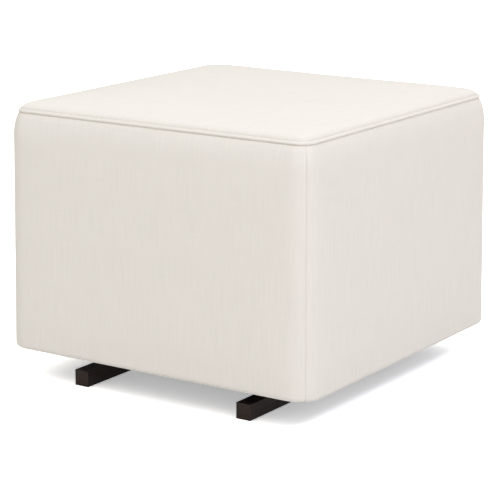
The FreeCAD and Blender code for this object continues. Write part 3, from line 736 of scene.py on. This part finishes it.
class OTTOMAN_OT_cover_top(Builder, bpy.types.Operator):
    """Add the crowned top panel of the cover"""

    bl_idname = "ottoman.cover_top"
    bl_label = "Cover Top"

    def build(self, sizes, colours):
        shape = crowned_top(sizes, -TOP_REACH, -TOP_LIFT, TOP_CELLS)
        seam = seam_level() + TOP_LIFT
        for vertex in shape.verts:
            fade = min(1.0, max(0.0, vertex.co.z - seam) / UNEVEN_RISE) ** 2
            wave = noise.noise(Vector((vertex.co.x * 9, vertex.co.y * 9, 31)))
            vertex.co.z += sizes.unevenness * fade * wave
        rim = {vertex for edge in rim_edges(shape) for vertex in edge.verts}
        for drop in RIM_DROPS:
            drop_rim(shape, seam - drop, (1.0,))
        shape.verts.index_update()
        held = [v.index for v in shape.verts if v in rim or v.co.z < seam]
        cut = {}
        for vertex in shape.verts:
            drop = max(0.0, seam - vertex.co.z)
            reach = 1 + drop / max(abs(vertex.co.x), abs(vertex.co.y), 0.01)
            cut[vertex] = (vertex.co.x * reach, vertex.co.y * reach)
        lay_cut(shape, cut)
        material = linen("linen top", colours.cover, sizes.thread)
        piece = add_piece(shape, "cover_top_panel", material)
        swell(piece, held, sizes.swelling)
        thicken(piece, sizes.fabric)
        seat_piece(piece, "cover_fabric", "cover_top")


class OTTOMAN_OT_cover_sides(Builder, bpy.types.Operator):
    """Add the four side panels of the cover, with their corner seams and hems"""

    bl_idname = "ottoman.cover_sides"
    bl_label = "Cover Sides"

    def build(self, sizes, colours):
        material = linen("linen sides", colours.cover, sizes.thread)
        for side in SIDES:
            make_side_panel(side, sizes, material)


class OTTOMAN_OT_piping(Builder, bpy.types.Operator):
    """Add the piping round the top edge, joined at the middle of the rear"""

    bl_idname = "ottoman.piping"
    bl_label = "Piping"

    def build(self, sizes, colours):
        low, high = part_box("piping")
        radius = sizes.piping_radius
        level = (low.z + high.z) / 2
        half_x, half_y = high.x - radius, high.y - radius
        corner = sizes.corner_radius - PIPING_CORNER
        shape = bmesh.new()
        stand = Matrix.Translation((0, half_y, level)) @ Matrix.Rotation(math.pi / 2, 4, "Y")
        made = bmesh.ops.create_circle(shape, cap_ends=False, segments=PIPING_SIDES, radius=radius,
                                       matrix=stand)["verts"]
        last = list({edge for vertex in made for edge in vertex.link_edges}) + made
        corners = ((-1, 1), (-1, -1), (1, -1), (1, 1))
        for number, (x, y) in enumerate(corners):
            heading = Matrix.Rotation(math.pi / 2 * number, 4, "Z") @ Vector((-1, 0, 0))
            half = half_x if number % 2 == 0 else half_y
            run = half - corner if number == 0 else 2 * (half - corner)
            count = STRAIGHT_STEPS // 2 if number == 0 else STRAIGHT_STEPS
            last = self.draw_out(shape, last, heading * run, count)
            centre = (x * (half_x - corner), y * (half_y - corner), level)
            last = bmesh.ops.spin(shape, geom=last, cent=centre, axis=(0, 0, 1), dvec=(0, 0, 0),
                                  angle=math.pi / 2, steps=CORNER_STEPS,
                                  use_merge=False)["geom_last"]
        self.draw_out(shape, last, Vector((-(half_x - corner), 0, 0)), STRAIGHT_STEPS // 2)
        bmesh.ops.remove_doubles(shape, verts=shape.verts, dist=0.00002)
        bmesh.ops.recalc_face_normals(shape, faces=shape.faces)
        cut = {}
        for vertex in shape.verts:
            outside = self.outside(vertex.co, half_x, half_y, corner)
            round_it = math.atan2(vertex.co.z - level, outside) * radius
            cut[vertex] = (self.way(vertex.co, half_x, half_y), round_it)
            shift = noise.noise(Vector((vertex.co.x * 14, vertex.co.y * 14, 3)))
            vertex.co.z += shift * 0.0002
        lay_cut(shape, cut)
        material = linen("linen piping", colours.cover, sizes.thread, math.pi / 4)
        piece = add_piece(shape, "piping_round_top", material)
        seat_piece(piece, "piping_fabric", "piping")

    def draw_out(self, shape, geometry, step, count):
        """Draw the last ring out along a straight and return the new last ring."""
        return bmesh.ops.spin(shape, geom=geometry, cent=(0, 0, 0), axis=(0, 0, 1),
                              dvec=step / count, angle=0.0, steps=count,
                              use_merge=False)["geom_last"]

    def way(self, place, half_x, half_y):
        """Return how far round the loop a point lies."""
        x, y = place.x, place.y
        if abs(x) / half_x > abs(y) / half_y:
            return (y if x > 0 else -y) + (half_x + half_y) * (1 if x > 0 else 3)
        return (x if y < 0 else -x) + (0 if y < 0 else 2 * (half_x + half_y))

    def outside(self, place, half_x, half_y, corner):
        """Return how far outside the loop's centre line a point lies."""
        x, y = abs(place.x) - (half_x - corner), abs(place.y) - (half_y - corner)
        if x > 0 and y > 0:
            return math.hypot(x, y) - corner
        return max(x, y) - corner


class OTTOMAN_OT_seat_pad(Builder, bpy.types.Operator):
    """Add the seat foam and the batting over it"""

    bl_idname = "ottoman.seat_pad"
    bl_label = "Seat Pad"

    def build(self, sizes, colours):
        batting = self.pad(sizes, "seat_batting", "seat_batting_wrap", 0.0004,
                           fibre_fill("batting fibre", colours.batting))
        thicken(batting, BATTING_WALL)
        seat_piece(batting, "batting", "seat_batting")
        foam = self.pad(sizes, "seat_foam", "seat_foam_block", 0.0002,
                        open_foam("seat foam", colours.foam), closed=True)
        seat_piece(foam, "foam", "seat_foam")

    def pad(self, sizes, node, name, unevenness, material, closed=False):
        """Return a crowned pad that fills its CAD node's box, open or closed below."""
        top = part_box("cover_top")[1]
        low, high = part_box(node)
        shape = crowned_top(sizes, top.x - high.x, top.z - high.z, PAD_CELLS)
        for vertex in shape.verts:
            vertex.co.z += unevenness * noise.noise(vertex.co * 40)
        last = drop_rim(shape, low.z, PAD_LEVELS)
        if closed:
            bmesh.ops.holes_fill(shape, edges=last, sides=0)
        lay_cut(shape, {vertex: (vertex.co.x, vertex.co.y) for vertex in shape.verts})
        return add_piece(shape, name, material)


class OTTOMAN_OT_side_padding(Builder, bpy.types.Operator):
    """Add the padding round the frame"""

    bl_idname = "ottoman.side_padding"
    bl_label = "Side Padding"

    def build(self, sizes, colours):
        low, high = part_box("side_padding")
        outer_half = frame_half("cover_panel_front", "cover_panel_right")[0]
        radius = sizes.corner_radius - (outer_half - high.x)
        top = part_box("cover_panel_front")[1].z
        heights = spread(low.z, high.z, PADDING_STEP)
        joined = bmesh.new()
        for side in SIDES:
            half_long, half_deep = side_halves(side, high.x, high.y)
            reach = seam_reach(half_long, radius)
            columns = spread(-reach, reach, FACE_STEP)
            shape, numbers = grid_of(len(columns), len(heights))
            turn = side_turn(side)
            for vertex, (column, row) in numbers.items():
                height = heights[row]
                outer, outward = along_side(columns[column], half_long, half_deep, radius)
                inset = drawn_in(sizes, height, top) - flared(sizes, height, low.z)
                place = turn @ (outer - outward * inset + UP * height)
                fade = min(1.0, (reach - abs(columns[column])) / 0.01)
                dent = 0.0004 * fade * abs(noise.noise(place * 45))
                vertex.co = place - (turn @ outward) * dent
            mesh = bpy.data.meshes.new("part of padding")
            shape.to_mesh(mesh)
            shape.free()
            joined.from_mesh(mesh)
            bpy.data.meshes.remove(mesh)
        bmesh.ops.remove_doubles(joined, verts=joined.verts, dist=0.00005)
        material = fibre_fill("padding fibre", colours.batting)
        piece = add_piece(joined, "side_padding_wrap", material)
        thicken(piece, PADDING_WALL)
        seat_piece(piece, "padding", "side_padding")


class OTTOMAN_OT_dust_covers(Builder, bpy.types.Operator):
    """Add the three strips of dust cover under the frame"""

    bl_idname = "ottoman.dust_covers"
    bl_label = "Dust Covers"

    def build(self, sizes, colours):
        material = spun_cloth("dust cloth", colours.dust)
        for place in ("centre", "left", "right"):
            node = "dust_cover_" + place
            low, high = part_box(node)
            columns, rows = (spread(low[axis], high[axis], DUST_STEP) for axis in (0, 1))
            shape, numbers = grid_of(len(columns), len(rows))
            cut = {}
            for vertex, (column, row) in numbers.items():
                x, y = columns[column], rows[row]
                rim = min(x - low.x, high.x - x, y - low.y, high.y - y)
                fade = min(1.0, rim / DUST_RIM)
                wave = noise.noise(Vector((x * 14, y * 14, 8)))
                sag = DUST_SAG * fade * fade * (1 + 0.6 * wave)
                vertex.co = Vector((x, y, high.z - sag))
                cut[vertex] = (x, y)
            lay_cut(shape, cut)
            piece = add_piece(shape, "dust_strip_" + place, material)
            thicken(piece, high.z - low.z)
            seat_piece(piece, "dust_fabric", node)


def dress(nodes, material):
    """Give CAD nodes a finish."""
    for name in nodes:
        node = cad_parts[name]
        node.data.materials.clear()
        node.data.materials.append(material)


class OTTOMAN_OT_wood(Builder, bpy.types.Operator):
    """Finish the runners, rails, posts and plywood"""

    bl_idname = "ottoman.wood"
    bl_label = "Wood"

    def build(self, sizes, colours):
        # The turns that bring the grain, and for plywood the layers too, to the way a piece lies.
        lengthways, across = (0, 0, 0), (0, 0, math.pi / 2)
        upright, sideways = (math.pi / 2, 0, 0), (0, -math.pi / 2, 0)
        dress(("runner_left", "runner_right"),
              stained_wood("espresso runners", colours.runner, lengthways))
        dress(("cross_rail_front", "cross_rail_rear"),
              stained_wood("espresso rails", colours.runner, across))
        dress(("carriage_rail_left", "carriage_rail_right"),
              plain_wood("pine rails", colours.softwood, lengthways))
        dress(("corner_posts",), plain_wood("pine posts", colours.softwood, upright))
        # Each sheet of plywood, and the axis that its layers lie across.
        for name, turn, axis in (
            ("seat_deck", lengthways, 2),
            ("frame_panel_front", upright, 1),
            ("frame_panel_rear", upright, 1),
            ("frame_panel_left", sideways, 0),
            ("frame_panel_right", sideways, 0),
        ):
            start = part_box(name)[0][axis]
            dress((name,), plywood("plywood " + name, colours.plywood, turn, start))


class OTTOMAN_OT_metal(Builder, bpy.types.Operator):
    """Finish the plates, arms, bearings, fasteners and bumpers"""

    bl_idname = "ottoman.metal"
    bl_label = "Metal and Rubber"

    def build(self, sizes, colours):
        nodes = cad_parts
        coated = [name for name in nodes if name.endswith(("_left", "_right", "_front", "_rear"))
                  and name.startswith(("base_plate", "carriage_plate", "swing_arm", "tie_bar"))]
        bearing = [name for name in nodes
                   if name.startswith("bearings_") or name.endswith("inner_rings")]
        dress(coated, powder_coat("black powder coat", colours.paint))
        dress(bearing, bare_metal("bearing steel", colours.steel, 0.14, 0.24, 160.0))
        dress(("bumpers",), rubber("bumper rubber", colours.rubber))
        dress(("staples",), bare_metal("staple wire", colours.zinc, 0.30, 0.45, 300.0))
        plated = [name for name in nodes
                  if name.endswith(("bolts", "nuts", "washers", "spacers", "screws"))]
        dress(plated, bare_metal("zinc plating", colours.zinc, 0.28, 0.46, 120.0))


class OTTOMAN_OT_stage(Builder, bpy.types.Operator):
    """Add the floor, the soft studio light and the camera"""

    bl_idname = "ottoman.stage"
    bl_label = "Stage"

    def build(self, sizes, colours):
        shape = bmesh.new()
        bmesh.ops.create_grid(shape, x_segments=1, y_segments=1, size=12.0)
        floor = add_piece(shape, "floor", self.floor_finish())
        self.light("key light", azimuth=62, elevation=46, distance=6.0, size=1.6, power=112,
                   tint=(1.02, 0.99, 1.08))
        self.light("fill light", azimuth=-5, elevation=48, distance=6.0, size=2.0, power=38,
                   tint=(1.0, 0.97, 0.90))
        self.light("overhead light", azimuth=20, elevation=74, distance=5.0, size=2.4, power=14,
                   tint=(0.05, 0.95, 1.45))
        self.sky(strength=0.965, horizon=0.10, left=(1.0, 0.98, 0.89), right=(1.0, 1.0, 1.06))
        self.camera()

    def seen(self, finish):
        """Return 1 for what the camera, a mirror or glass sees, and 0 for spreading light."""
        path = finish.node("LightPath")
        seen = finish.math("ADD", path.outputs["Is Camera Ray"], path.outputs["Is Glossy Ray"])
        seen = finish.math("ADD", seen, path.outputs["Is Transmission Ray"])
        return finish.math("MINIMUM", seen, 1.0)

    def floor_finish(self):
        """Return a pale floor that shows white in the light and grey in the shadow."""
        finish = Finish(bpy.data.materials.new("pale floor"))
        bounce = finish.node("BsdfDiffuse", {"Color": (0.82, 0.82, 0.82, 1)})
        lit = finish.node("BsdfDiffuse", {"Color": (1.0, 1.0, 1.0, 1)})
        more = finish.node("BsdfDiffuse", {"Color": (0.75, 0.75, 0.75, 1)})
        glow = finish.node("Emission", {"Color": (1, 1, 1, 1), "Strength": 0.38})
        both = finish.node("AddShader", {0: lit.outputs[0], 1: more.outputs[0]})
        white = finish.node("AddShader", {0: both.outputs[0], 1: glow.outputs[0]})
        return finish.close(finish.node("MixShader", {0: self.seen(finish), 1: bounce.outputs[0],
                                                      2: white.outputs[0]}))

    def light(self, name, azimuth, elevation, distance, size, power, tint):
        """Add a square soft light that faces the seat."""
        lamp = bpy.data.lights.new(name, "AREA")
        lamp.size = size
        lamp.energy = power
        lamp.color = tint
        turn, tilt = math.radians(azimuth), math.radians(elevation)
        back = Vector((math.sin(turn) * math.cos(tilt), -math.cos(turn) * math.cos(tilt),
                       math.sin(tilt)))
        holder = bpy.data.objects.new(name, lamp)
        holder.location = Vector((0, 0, 0.2)) + back * distance
        holder.rotation_euler = back.to_track_quat("Z", "Y").to_euler()
        bpy.context.scene.collection.objects.link(holder)

    def sky(self, strength, horizon, left, right):
        """Light the scene softly from the sky, and show white.

        The light is at its strength from a height of 0.6 of the way up, falls to a share of it at
        the horizon, and changes its tint from the left to the right.
        """
        world = bpy.data.worlds.new("studio")
        finish = Finish(world)
        view = finish.node("TexCoord").outputs["Generated"]
        direction = finish.node("SeparateXYZ", {0: view})
        rightward = finish.math("MULTIPLY_ADD", direction.outputs[0], 0.5, 0.5)
        limits = {"Value": direction.outputs[2], "From Max": 0.6, "To Min": strength * horizon,
                  "To Max": strength}
        rise = finish.node("MapRange", limits, interpolation_type="SMOOTHSTEP").outputs[0]
        seen = self.seen(finish)
        shown = finish.blend(seen, finish.blend(rightward, left, right), (1.0, 1.0, 1.0))
        level = finish.math("MULTIPLY_ADD", finish.math("SUBTRACT", 1.0, rise), seen, rise)
        finish.close(finish.node("Background", {"Color": shown, "Strength": level}), "OutputWorld")
        bpy.context.scene.world = world

    def camera(self):
        """Add the camera at the photograph's viewing angle."""
        scene = bpy.context.scene
        data = bpy.data.cameras.new("camera")
        data.sensor_width = 36.0
        data.lens = 147.0
        data.clip_end = 60.0
        holder = bpy.data.objects.new("camera", data)
        holder.location = (1.7479, -2.6437, 0.9392)
        holder.rotation_euler = (math.radians(90 - 13.35), math.radians(-0.09), math.radians(33.60))
        scene.collection.objects.link(holder)
        scene.camera = holder
        scene.view_settings.view_transform = "Standard"


class OTTOMAN_PT_panel(bpy.types.Panel):
    """The ottoman's sizes, colours and pieces"""

    bl_idname = "OTTOMAN_PT_panel"
    bl_label = "Glider Ottoman"
    bl_space_type = "VIEW_3D"
    bl_region_type = "UI"
    bl_category = "Ottoman"

    def draw(self, context):
        """List the settings and the pieces."""
        layout = self.layout
        scene = context.scene
        for title, group in (("Sizes", scene.ottoman_sizes), ("Colours", scene.ottoman_colours)):
            box = layout.box()
            box.label(text=title)
            for name in group.__annotations__:
                box.prop(group, name)
        for operator in OPERATORS:
            layout.operator(operator.bl_idname)


OPERATORS = (
    OTTOMAN_OT_stage,
    OTTOMAN_OT_cover_top,
    OTTOMAN_OT_cover_sides,
    OTTOMAN_OT_piping,
    OTTOMAN_OT_seat_pad,
    OTTOMAN_OT_side_padding,
    OTTOMAN_OT_dust_covers,
    OTTOMAN_OT_wood,
    OTTOMAN_OT_metal,
)
CLASSES = (OttomanSizes, OttomanColours, *OPERATORS, OTTOMAN_PT_panel)


def register():
    """Register the classes and their settings."""
    for item in CLASSES:
        bpy.utils.register_class(item)
    bpy.types.Scene.ottoman_sizes = PointerProperty(type=OttomanSizes)
    bpy.types.Scene.ottoman_colours = PointerProperty(type=OttomanColours)


def unregister():
    """Take the classes and their settings away again."""
    del bpy.types.Scene.ottoman_colours
    del bpy.types.Scene.ottoman_sizes
    for item in reversed(CLASSES):
        bpy.utils.unregister_class(item)


def main():
    """Build the whole ottoman, piece by piece."""
    register()
    bpy.ops.ottoman.stage()
    bpy.ops.ottoman.cover_top()
    bpy.ops.ottoman.cover_sides()
    bpy.ops.ottoman.piping()
    bpy.ops.ottoman.seat_pad()
    bpy.ops.ottoman.side_padding()
    bpy.ops.ottoman.dust_covers()
    bpy.ops.ottoman.wood()
    bpy.ops.ottoman.metal()


if __name__ == "__main__":
    main()
